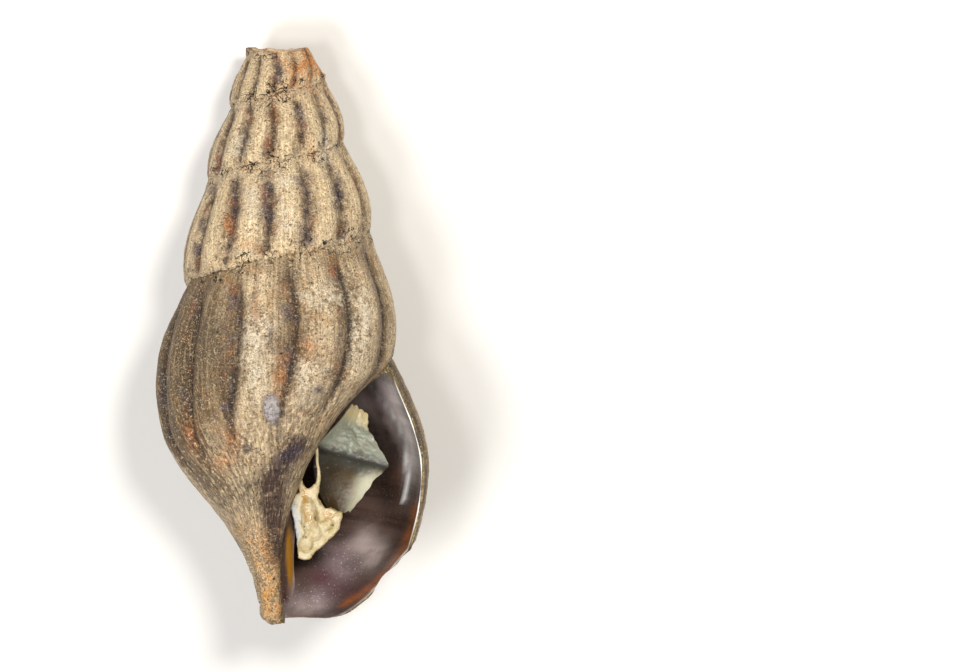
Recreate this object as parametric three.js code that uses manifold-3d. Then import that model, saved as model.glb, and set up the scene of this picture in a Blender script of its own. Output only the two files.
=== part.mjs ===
// Assassin snail shell, lying on its back with the aperture up, in millimetres.
// The shell is one grown piece: a tube coiled round an axis, each turn wider than the last by
// the same factor. Its tip has worn away, as it does on old river shells. Two scraps of the
// dried animal are still inside the aperture.
//
// The shape is worked out in the shell's own frame, where y runs up the coiling axis from the
// end of the canal towards the tip, x runs right and z runs towards someone looking into the
// aperture. A place on the coil is given by its turn: 0 is the right-hand side of the last
// whorl, -0.25 its back, -0.5 its left, -0.75 its front, and -1 is one whole whorl earlier.
import * as THREE from "three";
import { mergeVertices } from "three/addons/utils/BufferGeometryUtils.js";
import Module from "manifold-3d";

const wasm = await Module();
wasm.setup();

// Driving dimensions
const WHOLE_LENGTH = 29.7; // from the end of the canal to the tip that has worn away
const LENGTH = 25.0; // what is left of it
const GROWTH = 1.435; // each whorl is this many times the last
const SUTURE_DROP = 18.1; // from the lost tip down to the suture where the lip begins
const LIP_TURN = 0.045; // the lip stands a little in front of the right-hand side
const FIRST_TURN = -4.85; // above the break, so that the broken end cuts through it
const PILLAR_LEAN = 0.43; // the canal leans this far to the left
const RIBS = 14; // ribs in a whorl
const RIB_DEPTH = 0.25; // crest to groove at the last whorl
const WALL = 0.35; // shell wall at the last whorl
const LIP_EDGE = 0.2; // the wall thins to this at the lip
const GLAZE = 0.04; // thin glaze on the inner side of the cavity
const CAVITY_START = 0.075; // the cavity runs from outside the lip
const CAVITY_END = -1.6; // to here
const CAVITY_TOP = 0.43; // its top lies this far under the suture
const CAVITY_FLOOR_DROP = 25.6; // from the lost tip down to its floor on the left-hand side
const BELOW = -0.7; // where its floor has opened into the canal, under the end of the shell
const MEMBRANE_THICK = 0.15;
const CLEARANCE = 0.12; // between the dried scraps and the shell
const TIP_OVER = -13.9; // the shell lies on its back with its spire down, in degrees
const ROLL = 8.3; // and is turned this far about its axis
const REST = [-0.44, -12.14, 7.9]; // then moved to rest on the ground under its middle

// Radius at the suture, as it would be at turn 0, by turn
const SUTURE_RADIUS = [[-9, 5.5], [-1.5, 5.5], [-1, 5.44], [-0.5, 4.98], [0, 4.77], [0.1, 4.72]];
// Radius at the lower edge of a whorl's side, where the next suture would be
const SIDE_FOOT_RADIUS = [[-0.955, 6.8], [-0.75, 6.22], [-0.5, 5.98], [-0.25, 6.04], [0.1, 6.12]];
// How far a whorl's side bulges between those two, and how low the bulge sits
const BULGE = [[-9, 0.65], [-1.5, 0.65], [-1, 0.6], [-0.5, 0.88], [0.1, 0.84]];
const BULGE_SAG = [[-9, 1.35], [-1, 1.33], [-0.6, 1.12], [0.1, 1.1]];
// The base below a whorl's side is a cubic curve. Two handles, as drop and change of radius.
const HANDLE_DROP = [[-0.955, 1.34], [-0.75, 1.95], [-0.5, 2.25], [-0.25, 1.73], [0, 0.85]];
const HANDLE_IN = [[-0.955, -1.2], [-0.75, -0.95], [-0.5, -1.0], [-0.25, -0.9], [0, -0.8]];
const WAIST_DROP = [[-0.955, 3.5], [-0.75, 3.8], [-0.5, 3.5], [-0.25, 3.68], [0, 2.95]];
const WAIST_RADIUS = [[-0.955, -0.6], [-0.75, 0.35], [-0.5, 0.45], [-0.375, 0.95], [-0.25, 2.0], [0, 4.1]];
const FOOT_RADIUS = [[-0.955, 0.53], [-0.5, 0.53], [-0.375, 0.72], [-0.25, 1.55], [0, 2.6]];
const FOOT_HEIGHT = [[-0.955, -0.02], [-0.6, -0.02], [-0.45, 0.14], [-0.25, 0.24], [0, 0.28]];
// The grooves between the ribs of the last whorl, in degrees round from the right-hand side
const GROOVES = [29, 58, 88, 118, 145, 170, 190, 211, 235, 264, 288, 311, 331, 348];
// Lumps of dried flesh: middle x, y, z, half width, half height, half depth and lean in degrees
const LUMPS = [
  [1.17, 4.5, 0.1, 0.5, 1.2, 0.42, 4],
  [0.6, 4.6, 0.3, 0.28, 0.9, 0.22, 8],
  [2.0, 4.42, 0.0, 0.62, 0.42, 0.34, 32],
  [1.08, 3.45, 0.1, 0.46, 0.6, 0.36, -25],
  [0.85, 5.85, 0.1, 0.17, 0.6, 0.17, 8],
];
// The strand's path from its top end
const STRAND = [[1.47, 7.71, -0.1], [1.52, 7.1, 0], [1.6, 6.46, 0.05], [1.52, 5.94, 0.1], [1.35, 5.3, 0.1]];
// The membrane's left and right edges, each as x, y and z by share of the way down it
const MEMBRANE_LEFT = [
  [[0, 3.03], [0.2, 2.51], [0.4, 1.99], [0.6, 1.52], [0.66, 1.52], [0.75, 1.56], [0.87, 1.73], [1, 2.25]],
  [[0, 9.53], [0.2, 8.84], [0.4, 8.28], [0.6, 7.71], [0.66, 7.45], [0.75, 6.67], [0.87, 5.89], [1, 5.2]],
  [[0, -0.9], [0.2, -0.6], [0.4, -0.4], [0.6, -0.25], [0.66, -0.5], [0.75, -0.7], [1, -0.8]],
];
const MEMBRANE_RIGHT = [
  [[0, 3.73], [0.2, 3.77], [0.4, 4.07], [0.6, 4.59], [0.66, 4.42], [0.75, 3.9], [0.87, 3.42], [1, 2.95]],
  [[0, 9.06], [0.2, 8.41], [0.4, 7.89], [0.6, 6.89], [0.66, 6.63], [0.75, 6.07], [0.87, 5.37], [1, 4.81]],
  [[0, -1.3], [0.2, -1.1], [0.4, -0.9], [0.6, -0.6], [0.66, -0.9], [0.75, -1.2], [1, -1.2]],
];

// Mesh steps
const STEPS = 70; // round one whorl, five to a rib
const ALL_STEPS = Math.round((LIP_TURN - FIRST_TURN) * STEPS);
const SIDE_ROWS = 7; // down a whorl's side
const BASE_ROWS = 9; // down its base
const ALL_ROWS = SIDE_ROWS + BASE_ROWS;
const CAVITY_STEPS = 42; // along the cavity
const CAVITY_ROWS = 9; // down each side of it
const MEMBRANE_ROWS = 12;

const range = (count) => Array.from({ length: count }, (_, n) => n);

// A smooth curve through a list of [place, value] keys, level beyond its ends.
function along(keys, x) {
  const last = keys.length - 1;
  if (x <= keys[0][0]) return keys[0][1];
  if (x >= keys[last][0]) return keys[last][1];
  const i = keys.findIndex((key, n) => n < last && x < keys[n + 1][0]);
  const slope = (n) => {
    const a = keys[Math.max(n - 1, 0)];
    const b = keys[Math.min(n + 1, last)];
    return (b[1] - a[1]) / (b[0] - a[0]);
  };
  const [x0, y0] = keys[i];
  const [x1, y1] = keys[i + 1];
  const span = x1 - x0;
  const t = (x - x0) / span;
  return (
    y0 * (1 + 2 * t) * (1 - t) ** 2 +
    slope(i) * span * t * (1 - t) ** 2 +
    y1 * t * t * (3 - 2 * t) +
    slope(i + 1) * span * t * t * (t - 1)
  );
}

const size = (turn) => GROWTH ** turn;
const sutureHeight = (turn) => WHOLE_LENGTH - SUTURE_DROP * size(turn);
const step = THREE.MathUtils.smoothstep;

// The canal leans over, so the middle of each level moves left towards the end of the canal.
const middle = (height) => -PILLAR_LEAN * step(-height, -8.4, -1.9);

// Ribs are numbered from the right-hand side, and bend forward a little down a whorl's side.
const GROOVE_KEYS = [[0, 0], ...GROOVES.map((degrees, n) => [degrees, n + 1]), [376, 15.2]];
function ribNumber(turn, down) {
  const bend = 0.016 * Math.sin(Math.PI * Math.min(down, 1.5));
  const at = turn + bend;
  return at < -1 ? RIBS * (at + 1) : along(GROOVE_KEYS, 360 * (at + 1));
}

// Rise of the ribs, and below nothing the fall of the grooves. They fade out on the base.
function ribRise(turn, down) {
  const reach = 1 + 0.5 * step(turn, LIP_TURN - 1, LIP_TURN - 0.9);
  const fade = step(down, 0.02, 0.3) * (1 - step(down, 0.88, reach));
  const crest = (0.5 - 0.5 * Math.cos(2 * Math.PI * ribNumber(turn, down))) ** 0.6;
  return RIB_DEPTH * size(turn) ** 0.8 * fade * (crest - 0.6);
}

// Height and radius on a whorl's side, from its suture (down 0) to the next one (down 1).
function side(turn, down) {
  const scale = size(turn);
  const top = along(SUTURE_RADIUS, turn);
  const foot =
    turn < LIP_TURN - 1 ? along(SUTURE_RADIUS, turn + 1) * GROWTH : along(SIDE_FOOT_RADIUS, turn);
  const bulge = along(BULGE, turn) * Math.sin(Math.PI * down ** along(BULGE_SAG, turn));
  return {
    height: THREE.MathUtils.lerp(sutureHeight(turn), sutureHeight(turn + 1), down),
    radius: scale * (top + (foot - top) * down + bulge),
  };
}

// Height and radius on the base of a whorl, from its side (down 0) to the pillar (down 1).
// Before the last whorl it is the hidden floor between two turns of the cavity.
function base(turn, down) {
  const start = side(turn, 1);
  const seen = Math.max(turn, LIP_TURN - 1);
  const shrink = size(turn - seen);
  const foot = along(FOOT_HEIGHT, seen);
  const points = [
    [start.height, start.radius],
    [
      start.height - along(HANDLE_DROP, seen) * shrink,
      start.radius + along(HANDLE_IN, seen) * shrink,
    ],
    [start.height - along(WAIST_DROP, seen) * shrink, along(WAIST_RADIUS, seen) * shrink],
    [WHOLE_LENGTH - (WHOLE_LENGTH - foot) * shrink, along(FOOT_RADIUS, seen) * shrink],
  ];
  const share = [(1 - down) ** 3, 3 * down * (1 - down) ** 2, 3 * down ** 2 * (1 - down), down ** 3];
  const sum = (k) => share.reduce((total, part, n) => total + part * points[n][k], 0);
  return { height: sum(0), radius: sum(1) };
}

// Height and radius all the way down a whorl: 0 at its suture, 1 at the foot of its side and 2
// at the pillar.
const outline = (turn, down) => (down <= 1 ? side(turn, down) : base(turn, down - 1));

// Radius of a whorl's outline at a height, found by halving. Height falls all the way down it.
function radiusAt(turn, height) {
  let [above, below] = [0, 2];
  for (let n = 0; n < 26; n += 1) {
    const between = (above + below) / 2;
    if (outline(turn, between).height > height) above = between;
    else below = between;
  }
  return outline(turn, above).radius;
}

// A point in the shell's frame from a turn, a height and a radius.
function place(turn, height, radius) {
  const angle = 2 * Math.PI * turn;
  const [x, z] = [radius * Math.cos(angle), radius * Math.sin(angle)];
  return new THREE.Vector3(middle(height) + x, height, z);
}

// A closed solid from its points and its triangles, given as point numbers.
function solid(points, corners) {
  const volume = corners.reduce(
    (sum, [a, b, c]) => sum + points[a].dot(new THREE.Vector3().crossVectors(points[b], points[c])),
    0,
  );
  const faces = volume > 0 ? corners : corners.map(([a, b, c]) => [a, c, b]);
  const mesh = new wasm.Mesh({
    numProp: 3,
    vertProperties: new Float32Array(points.flatMap((point) => point.toArray())),
    triVerts: new Uint32Array(faces.flat()),
  });
  return new wasm.Manifold(mesh);
}

// The filled outside of the shell, with a flat face across the aperture. Extra swells it.
function outside(extra) {
  const points = [];
  const corners = [];
  const known = new Map();
  const corner = (n, row) => {
    if (row === SIDE_ROWS && n >= STEPS) return corner(n - STEPS, 0);
    const name = `${n} ${row}`;
    if (!known.has(name)) {
      const turn = LIP_TURN - n / STEPS;
      const down = row < SIDE_ROWS ? row / SIDE_ROWS : 1 + (row - SIDE_ROWS) / BASE_ROWS;
      const at = outline(turn, down);
      known.set(name, points.length);
      points.push(place(turn, at.height, at.radius + ribRise(turn, down) + extra));
    }
    return known.get(name);
  };
  const face = (loop, a, b) => {
    const flat = loop.map((n) => new THREE.Vector2(points[n][a], points[n][b]));
    const cut = THREE.ShapeUtils.triangulateShape(flat, []);
    corners.push(...cut.map((three) => three.map((n) => loop[n])));
  };
  for (let n = 0; n < ALL_STEPS; n += 1) {
    const rows = n < STEPS ? ALL_ROWS : SIDE_ROWS;
    for (let row = 0; row < rows; row += 1) {
      const [a, b] = [corner(n + 1, row), corner(n, row)];
      const [c, d] = [corner(n, row + 1), corner(n + 1, row + 1)];
      corners.push([a, b, c], [a, c, d]);
    }
  }
  const lip = range(ALL_ROWS + 1).map((row) => corner(0, row));
  const inner = range(BASE_ROWS).map((row) => corner(STEPS, ALL_ROWS - row));
  face([...lip, ...inner], "x", "y");
  face(range(STEPS + 1).map((n) => corner(n, ALL_ROWS)), "x", "z");
  const rim = range(STEPS + 1).map((n) => corner(ALL_STEPS - n, 0));
  const end = range(SIDE_ROWS - 1).map((row) => corner(ALL_STEPS, SIDE_ROWS - 1 - row));
  face([...rim, ...end], "z", "x");
  return solid(points, corners);
}

// A closed solid through a row of rings. Each ring goes down one side and back up the other,
// so the two ends are closed with rungs between the sides.
function loft(rings) {
  const around = rings[0].length;
  const points = rings.flat();
  const corners = [];
  const quad = (a, b, c, d) => corners.push([a, b, c], [a, c, d]);
  for (let ring = 0; ring + 1 < rings.length; ring += 1) {
    for (let n = 0; n < around; n += 1) {
      const [here, next] = [ring * around + n, ring * around + ((n + 1) % around)];
      quad(here, next, next + around, here + around);
    }
  }
  const last = points.length - around;
  for (let n = 0; n + 1 < around / 2; n += 1) {
    const [m, far] = [n + 1, around - 1];
    quad(n, far - n, far - m, m);
    quad(last + n, last + m, last + far - m, last + far - n);
  }
  return solid(points, corners);
}

// The cavity of the tube. Extra makes it narrower on every side.
function cavity(extra) {
  const rings = range(CAVITY_STEPS + 1).map((n) => {
    const turn = THREE.MathUtils.lerp(CAVITY_START, CAVITY_END, n / CAVITY_STEPS);
    const scale = size(turn) ** 0.8;
    const toLip = THREE.MathUtils.clamp((turn + 0.03) / (LIP_TURN + 0.03), 0, 1);
    const wall = LIP_EDGE + (WALL - LIP_EDGE) * Math.sqrt(1 - toLip ** 2);
    const top = sutureHeight(turn) - CAVITY_TOP * scale - extra;
    const closed = WHOLE_LENGTH - CAVITY_FLOOR_DROP * size(Math.min(turn + 0.5, 0)) + extra;
    const floor = THREE.MathUtils.lerp(closed, BELOW, step(turn, -0.5, -0.28));
    const heights = range(CAVITY_ROWS + 1).map((row) =>
      THREE.MathUtils.lerp(top, floor, row / CAVITY_ROWS),
    );
    const outer = heights.map((height) => {
      const radius = radiusAt(turn, height) - wall * scale - extra;
      return [height, Math.max(radius, radiusAt(turn - 1, height) + GLAZE + 0.05)];
    });
    const inner = heights.map((height) => [height, radiusAt(turn - 1, height) + GLAZE + extra]);
    return [...outer, ...inner.reverse()].map(([height, radius]) => place(turn, height, radius));
  });
  return loft(rings);
}

// Everything above the worn end, whose face is uneven and slopes off on the right.
function lostTip() {
  const blob = new THREE.SphereGeometry(1, 28, 14);
  const spots = blob.attributes.position;
  for (let n = 0; n < spots.count; n += 1) {
    const [x, z] = [spots.getX(n) * 3.4, spots.getZ(n) * 3.4];
    const pit = 0.3 * Math.exp(-3 * ((x + 0.1) ** 2 + (z - 0.1) ** 2));
    const chip = 1.25 * step(x, 0.95, 2.0);
    const rough = 0.05 * Math.sin(4.1 * x + 0.6) * Math.cos(3.3 * z);
    const face = LENGTH - 0.07 - pit - chip + rough;
    spots.setXYZ(n, x, face + 5 * Math.max(spots.getY(n), 0), z);
  }
  return fromGeometry(blob);
}

// A solid from one of three.js's closed geometries.
function fromGeometry(geometry) {
  geometry.deleteAttribute("normal");
  geometry.deleteAttribute("uv");
  const joined = mergeVertices(geometry, 1e-5);
  const spots = joined.attributes.position;
  const points = range(spots.count).map((n) => new THREE.Vector3().fromBufferAttribute(spots, n));
  const list = Array.from(joined.index.array);
  const corners = range(list.length / 3).map((n) => list.slice(3 * n, 3 * n + 3));
  return solid(points, corners);
}

// The dried flesh: lumps grown together on the pillar, with a strand leading up from them.
function flesh() {
  const lumps = LUMPS.map(([x, y, z, across, high, deep, lean]) => {
    const ball = new THREE.IcosahedronGeometry(1, 2);
    ball.scale(across, high, deep);
    ball.rotateZ(THREE.MathUtils.degToRad(lean));
    ball.translate(x, y, z);
    return fromGeometry(ball);
  });
  const path = new THREE.CatmullRomCurve3(STRAND.map((point) => new THREE.Vector3(...point)));
  const strand = loft(
    path.getPoints(10).map((middle, n) =>
      range(8).map((k) => {
        const angle = (2 * Math.PI * (k + 0.5)) / 8;
        const radius = 0.09 + 0.07 * step(n, 5, 10);
        return new THREE.Vector3(Math.cos(angle), 0, Math.sin(angle)).multiplyScalar(radius).add(middle);
      }),
    ),
  );
  return wasm.Manifold.union([...lumps, strand]);
}

// The dried membrane: a thin sheet that hangs from the inner lip and folds back under itself.
function membrane() {
  const rings = range(MEMBRANE_ROWS + 1).map((row) => {
    const at = row / MEMBRANE_ROWS;
    const [left, right] = [MEMBRANE_LEFT, MEMBRANE_RIGHT].map((edge) =>
      new THREE.Vector3(...edge.map((keys) => along(keys, at))),
    );
    const front = range(9).map((n) => {
      const point = left.clone().lerp(right, n / 8);
      point.z -= 0.25 * Math.sin((Math.PI * n) / 8);
      return point;
    });
    const back = front.map((point) => point.clone().add(new THREE.Vector3(0, 0, -MEMBRANE_THICK)));
    return [...front, ...back.reverse()];
  });
  return loft(rings);
}

// The resting pose, from the shell's own frame: turned about its axis, tipped over, then moved.
const pose = new THREE.Matrix4()
  .makeTranslation(...REST)
  .multiply(new THREE.Matrix4().makeRotationX(THREE.MathUtils.degToRad(TIP_OVER)))
  .multiply(new THREE.Matrix4().makeRotationY(THREE.MathUtils.degToRad(ROLL)));

const shellWall = (extra) => outside(extra).subtract(cavity(extra));
const nearShell = shellWall(CLEARANCE);
const shellSolid = shellWall(0)
  .subtract(lostTip())
  .transform(pose.elements)
  .trimByPlane([0, 0, 1], 0);
const membraneSolid = membrane().subtract(nearShell).transform(pose.elements);
const fleshSolid = flesh().subtract(nearShell).transform(pose.elements);

const group = new THREE.Group();
group.name = "assassin_snail_shell";

function add(name, solidMade, colour, roughness) {
  const made = solidMade.getMesh();
  const geometry = new THREE.BufferGeometry();
  geometry.setAttribute("position", new THREE.BufferAttribute(made.vertProperties, made.numProp));
  geometry.setIndex(new THREE.BufferAttribute(made.triVerts, 1));
  geometry.computeVertexNormals();
  const material = new THREE.MeshStandardMaterial({ color: colour, roughness, metalness: 0 });
  const mesh = new THREE.Mesh(geometry, material);
  mesh.name = name;
  group.add(mesh);
}

add("shell", shellSolid, 0x8a7048, 0.75);
add("dried_membrane", membraneSolid, 0x83877a, 0.35);
add("dried_flesh", fleshSolid, 0xd9cc9a, 0.6);

export default group;
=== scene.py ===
# %% [markdown]
# # An old assassin snail shell
#
# A snail's shell is one tube that coils round an axis. Every turn is wider than the last by the
# same factor, so one formula gives the whole outside, ribs and all. This lesson builds the shell
# and the two scraps of the dried animal in its aperture. Everything is modelled with one unit for
# a millimetre, because some of Blender's tools don't work below a tenth of a millimetre, in the
# shell's own frame: y runs up the axis towards the worn tip, x runs right and z runs towards
# someone looking into the aperture. At the end each piece is shrunk a thousandfold to its real
# size, and turned into the pose in which the shell rests on its back.

import math

import bmesh
import bpy
import numpy as np
from mathutils import Matrix, Vector, noise


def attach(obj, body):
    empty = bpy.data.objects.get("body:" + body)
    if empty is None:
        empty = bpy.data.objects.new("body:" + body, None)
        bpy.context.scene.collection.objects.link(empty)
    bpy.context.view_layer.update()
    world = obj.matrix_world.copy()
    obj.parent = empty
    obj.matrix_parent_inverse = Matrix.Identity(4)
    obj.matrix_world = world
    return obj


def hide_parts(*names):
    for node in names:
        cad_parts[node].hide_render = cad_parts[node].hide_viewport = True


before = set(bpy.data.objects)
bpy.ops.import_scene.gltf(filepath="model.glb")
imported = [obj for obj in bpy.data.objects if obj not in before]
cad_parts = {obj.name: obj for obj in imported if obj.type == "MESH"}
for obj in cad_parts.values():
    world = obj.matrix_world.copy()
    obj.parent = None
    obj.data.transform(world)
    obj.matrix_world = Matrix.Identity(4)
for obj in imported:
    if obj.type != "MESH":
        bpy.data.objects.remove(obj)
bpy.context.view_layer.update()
print("nodes:", sorted(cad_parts))

# %% [markdown]
# The growth of the shell is set by a few numbers: how much wider each turn is, how far the
# suture lies below the lost tip, and how the outline changes over the last turn. A place on the
# coil is given by its turn: 0 is the right-hand side of the last whorl and -1 is one whorl
# earlier. The outline down one whorl runs from 0 at its suture, past 1 at the foot of its side,
# to 2 at the end of the canal. Keys with smooth curves between them are easier to fit than one
# long formula.

# %% The numbers of growth
WHOLE_LENGTH = 29.7
LENGTH = 25.0
GROWTH = 1.435
SUTURE_DROP = 18.1
LIP_TURN = 0.045
PILLAR_LEAN = 0.43
SUTURE_RADIUS = [(-9, 5.5), (-1.5, 5.5), (-1, 5.44), (-0.5, 4.98), (0, 4.77), (0.1, 4.72)]
SIDE_FOOT_RADIUS = [(-0.955, 6.8), (-0.75, 6.22), (-0.5, 5.98), (-0.25, 6.04), (0.1, 6.12)]
BULGE = [(-9, 0.65), (-1.5, 0.65), (-1, 0.6), (-0.5, 0.88), (0.1, 0.84)]
BULGE_SAG = [(-9, 1.35), (-1, 1.33), (-0.6, 1.12), (0.1, 1.1)]
HANDLE_DROP = [(-0.955, 1.34), (-0.75, 1.95), (-0.5, 2.25), (-0.25, 1.73), (0, 0.85)]
HANDLE_IN = [(-0.955, -1.2), (-0.75, -0.95), (-0.5, -1.0), (-0.25, -0.9), (0, -0.8)]
WAIST_DROP = [(-0.955, 3.5), (-0.75, 3.8), (-0.5, 3.5), (-0.25, 3.68), (0, 2.95)]
WAIST_RADIUS = [(-0.955, -0.6), (-0.75, 0.35), (-0.5, 0.45), (-0.375, 0.95), (-0.25, 2.0), (0, 4.1)]
FOOT_RADIUS = [(-0.955, 0.53), (-0.5, 0.53), (-0.375, 0.72), (-0.25, 1.55), (0, 2.6)]
FOOT_HEIGHT = [(-0.955, -0.02), (-0.6, -0.02), (-0.45, 0.14), (-0.25, 0.24), (0, 0.28)]


def smooth(x, low, high):
    """0 below low, 1 above high, and a soft step between."""
    t = np.clip((np.asarray(x, float) - low) / (high - low), 0, 1)
    return t * t * (3 - 2 * t)


def along(keys, x):
    """A smooth curve through (place, value) keys, level beyond its ends."""
    at, value = np.array(keys, float).T
    slope = np.empty_like(value)
    slope[1:-1] = (value[2:] - value[:-2]) / (at[2:] - at[:-2])
    slope[0] = (value[1] - value[0]) / (at[1] - at[0])
    slope[-1] = (value[-1] - value[-2]) / (at[-1] - at[-2])
    x = np.clip(np.asarray(x, float), at[0], at[-1])
    i = np.clip(np.searchsorted(at, x, side="right") - 1, 0, len(at) - 2)
    span = at[i + 1] - at[i]
    t = (x - at[i]) / span
    start = value[i] * (1 + 2 * t) * (1 - t) ** 2 + slope[i] * span * t * (1 - t) ** 2
    return start + value[i + 1] * t * t * (3 - 2 * t) + slope[i + 1] * span * t * t * (t - 1)


def suture_height(turn):
    return WHOLE_LENGTH - SUTURE_DROP * GROWTH**turn


def middle(height):
    """The canal leans, so each level's middle moves left towards its end."""
    return -PILLAR_LEAN * smooth(-np.asarray(height), -8.4, -1.9)


print("suture heights:", [round(float(suture_height(turn)), 2) for turn in (0, -1, -2, -3)])

# %% [markdown]
# The outline is in two stretches. A whorl's side is a straight line between two sutures with a
# bulge on it. Below the last whorl's side the base runs in to the pillar, on a cubic curve like
# the ones that Blender's own curves use. The suture wavers a little, because each whorl was laid
# down over the ribs of the one above it.

# %% The outline of a whorl


def waver(turn):
    """How far the suture strays up or down there, in proportion to the whorl."""
    ribs = np.cos(2 * np.pi * 14 * (turn - 0.02))
    loose = np.sin(2 * np.pi * 5.3 * turn + 0.7) + 0.6 * np.sin(2 * np.pi * 23.7 * turn + 1.9)
    fade = 1 - smooth(turn, LIP_TURN - 0.12, LIP_TURN)
    return GROWTH**turn * fade * (0.05 * ribs + 0.045 * loose)


def whorl_side(turn, down):
    top = along(SUTURE_RADIUS, turn)
    above = along(SUTURE_RADIUS, turn + 1) * GROWTH
    foot = np.where(turn < LIP_TURN - 1 + 1e-5, above, along(SIDE_FOOT_RADIUS, turn))
    bulge = along(BULGE, turn) * np.sin(np.pi * down ** along(BULGE_SAG, turn))
    start = suture_height(turn) + waver(turn)
    end = suture_height(turn + 1) + waver(turn + 1)
    radius = GROWTH**turn * (top + (foot - top) * down + bulge)
    return start + (end - start) * down, radius


def whorl_base(turn, down):
    height, radius = whorl_side(turn, np.ones_like(np.asarray(down, float)))
    seen = np.maximum(turn, LIP_TURN - 1)
    shrink = GROWTH ** (turn - seen)
    points = [
        (height, radius),
        (height - along(HANDLE_DROP, seen) * shrink, radius + along(HANDLE_IN, seen) * shrink),
        (height - along(WAIST_DROP, seen) * shrink, along(WAIST_RADIUS, seen) * shrink),
        (
            WHOLE_LENGTH - (WHOLE_LENGTH - along(FOOT_HEIGHT, seen)) * shrink,
            along(FOOT_RADIUS, seen) * shrink,
        ),
    ]
    share = [(1 - down) ** 3, 3 * down * (1 - down) ** 2, 3 * down**2 * (1 - down), down**3]
    return tuple(sum(part * point[k] for part, point in zip(share, points)) for k in (0, 1))


def outline(turn, down):
    """Height and radius down a whorl, for arrays of turns and of places down it."""
    turn, down = np.broadcast_arrays(np.asarray(turn, float), np.asarray(down, float))
    side = whorl_side(turn, np.clip(down, 0, 1))
    base = whorl_base(turn, np.clip(down - 1, 0, 1))
    return np.where(down <= 1, side[0], base[0]), np.where(down <= 1, side[1], base[1])


def down_at(turn, height):
    """How far down a whorl a height is, by halving, because height falls all the way."""
    turn, height = np.broadcast_arrays(np.asarray(turn, float), np.asarray(height, float))
    above, below = np.zeros(turn.shape), np.full(turn.shape, 2.0)
    for _ in range(24):
        between = (above + below) / 2
        high = outline(turn, between)[0] > height
        above, below = np.where(high, between, above), np.where(high, below, between)
    return above


def place(turn, height, radius):
    angle = 2 * np.pi * np.asarray(turn)
    return np.stack([middle(height) + radius * np.cos(angle), height, radius * np.sin(angle)], -1)


print("radius at the foot of the last whorl's side:", outline(0.0, 1.0)[1].round(2))

# %% [markdown]
# Fourteen ribs cross each whorl. On the last whorl they are uneven, so their grooves are listed
# by their angles as read from the shell. The ribs are broad and the grooves between them narrow,
# which a cosine raised to a small power gives. They bend forward down the whorl's side, and fade
# where the base begins.

# %% The ribs
GROOVES = [29, 58, 88, 118, 145, 170, 190, 211, 235, 264, 288, 311, 331, 348]
GROOVE_KEYS = [(0, 0)] + [(degrees, n + 1) for n, degrees in enumerate(GROOVES)] + [(376, 15.2)]
RIB_DEPTH = 0.25


def rib_number(turn, down):
    at = turn + 0.016 * np.sin(np.pi * np.minimum(down, 1.5))
    return np.where(at < -1, 14 * (at + 1), along(GROOVE_KEYS, 360 * (at + 1)))


def crest(turn, down):
    """1 along the middle of a rib and 0 in the groove."""
    return (0.5 - 0.5 * np.cos(2 * np.pi * rib_number(turn, down))) ** 0.5


def from_groove(turn, down):
    """How far along the coil the nearest groove is, as a share of a rib, with a sign."""
    number = rib_number(turn, down)
    return number - np.round(number)


def relief(turn, down):
    reach = 1 + 0.5 * smooth(turn, LIP_TURN - 1, LIP_TURN - 0.9)
    ending = np.clip((down - 0.88) / (reach - 0.88), 0, 1)
    fade = smooth(down, 0.02, 0.3) * (1 - ending * ending * (3 - 2 * ending))
    number = np.floor(rib_number(turn, down))
    uneven = 1 + 0.3 * np.sin(12.9 * number) * smooth(turn, -4.5, -3)
    crease = 0.3 * np.exp(-((from_groove(turn, down) / 0.07) ** 2))
    ribs = RIB_DEPTH * GROWTH ** (0.8 * turn) * fade * uneven * (crest(turn, down) - 0.6 - crease)
    covered = GROWTH * (1 - smooth(turn, LIP_TURN - 1 + 1e-5, LIP_TURN - 0.93))
    pillar = 1 - smooth(turn, -0.55, -0.3)
    height = outline(turn, down)[0]
    above_foot = height - along(FOOT_HEIGHT, turn)
    near_foot = np.clip(1 - above_foot / (0.3 + 0.5 * pillar), 0, 1)
    round_end = (0.1 + 0.34 * pillar) * (1 - np.sqrt(1 - near_foot**2))
    seam = np.exp(-((down / 0.03) ** 2)) + np.exp(-(((down - 1) / 0.03) ** 2)) * covered
    growth = np.sin(2 * np.pi * 61 * turn + 2.0 * np.sin(3 * down)) + np.sin(2 * np.pi * 97.3 * turn)
    by_lip = smooth(turn, LIP_TURN - 0.08, LIP_TURN) * (down > 1)
    dent = 0.22 * np.exp(-(((height - 2.0) / 0.4) ** 2)) + 0.02 * np.sin(9 * height)
    fine_detail = 0.006 * growth * fade - dent * by_lip - round_end * (down > 1)
    return ribs - 0.08 * GROWTH**turn * seam + fine_detail


def outer_places(turn, down):
    height, radius = outline(turn, down)
    return place(turn, height, radius + relief(turn, down))


print("ribs on the last whorl:", len(GROOVES))

# %% [markdown]
# The outside is a flat grid that is rolled up along the formula. The grid operator makes the
# faces, and code moves the points, since no amount of bending by hand would give an exact log
# spiral. One strip makes all the whorls' sides and a second the base. Where two strips meet their
# points are merged. The open ends are closed with filled circles whose points are moved onto the
# rim, because a boolean needs a closed shape.

# %% A rolled-up grid
COLUMNS = 280
FIRST_TURN = LIP_TURN - 4.9


def closer(share):
    """Rows that lie closer together towards the end of a grid."""
    return 1 - (1 - share) ** 1.45


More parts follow.
